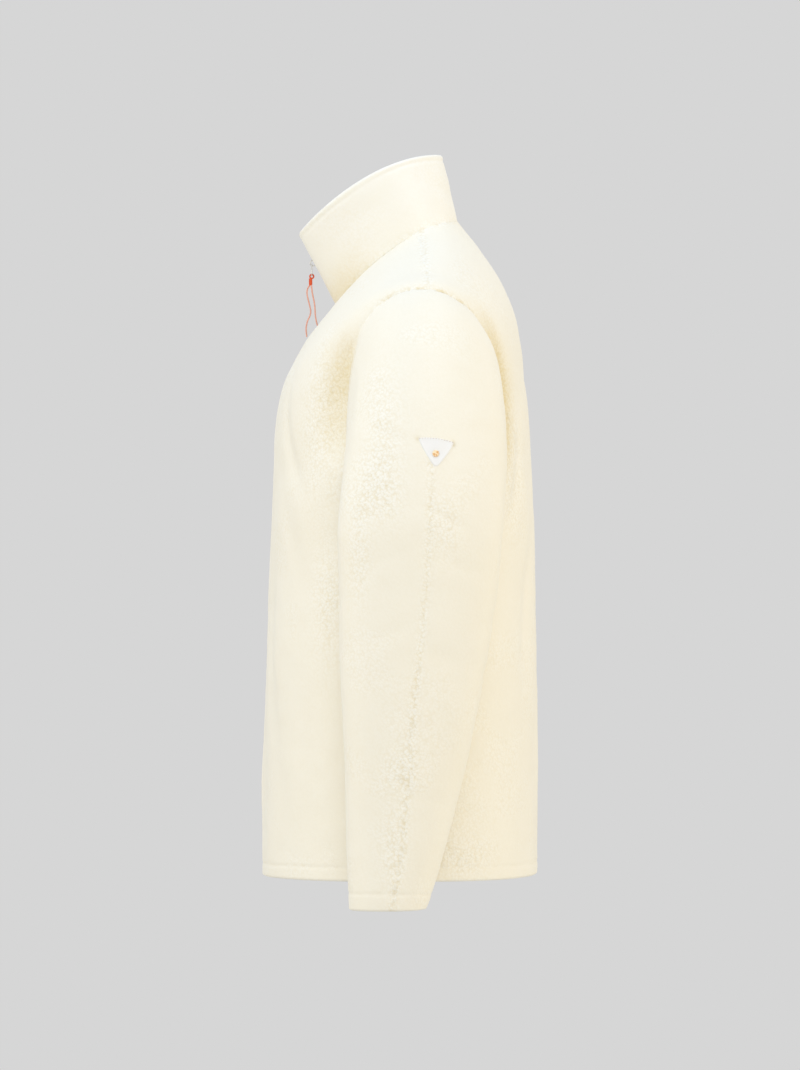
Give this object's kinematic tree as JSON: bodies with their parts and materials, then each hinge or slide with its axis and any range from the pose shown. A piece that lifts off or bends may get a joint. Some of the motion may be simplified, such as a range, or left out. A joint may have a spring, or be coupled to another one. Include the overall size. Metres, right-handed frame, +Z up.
{
  "type": "fleece jacket",
  "caption": "Boxy cream high-pile fleece jacket with a stand collar, a full-length front zip with a corded pull, and long set-in sleeves, filled out as worn.",
  "frame": {"origin": "between the shoulders, on the centre line, level with the neck ends of the shoulder seams", "axes": "+Z up, the front faces -Y, the wearer's left is +X"},
  "size_m": [0.6172, 0.2736, 0.7432],
  "materials": {
    "fleece": "high-pile sherpa fleece, matt",
    "zip_tape": "woven tape, matt",
    "zip_teeth": "moulded, satin",
    "zip_metal": "satin nickel",
    "coral_cord": "braided cord, matt",
    "badge": "moulded rubber patch, matt"
  },
  "bodies": {
    "garment": {"front_left": "fleece", "front_right": "fleece", "back": "fleece", "collar": "fleece", "sleeve_left_front": "fleece", "sleeve_left_back": "fleece", "sleeve_right_front": "fleece", "sleeve_right_back": "fleece", "sleeve_badge": "badge", "zip_tape_left": "zip_tape", "zip_tape_right": "zip_tape", "zip_teeth_left": "zip_teeth", "zip_teeth_right": "zip_teeth", "zip_box": "zip_metal", "zip_slider": "zip_metal"},
    "pull_tab": {"zip_puller": "zip_metal", "cord_loop": "coral_cord", "cord_tail_front": "coral_cord", "cord_tail_back": "coral_cord"}
  },
  "joints": [
    {"name": "pull_tab_swing", "type": "hinge", "parent": "garment", "child": "pull_tab", "pos_m": [0, -0.1082, -0.031], "axis": [-1, 0, 0], "range_deg": [0, 120]}
  ]
}
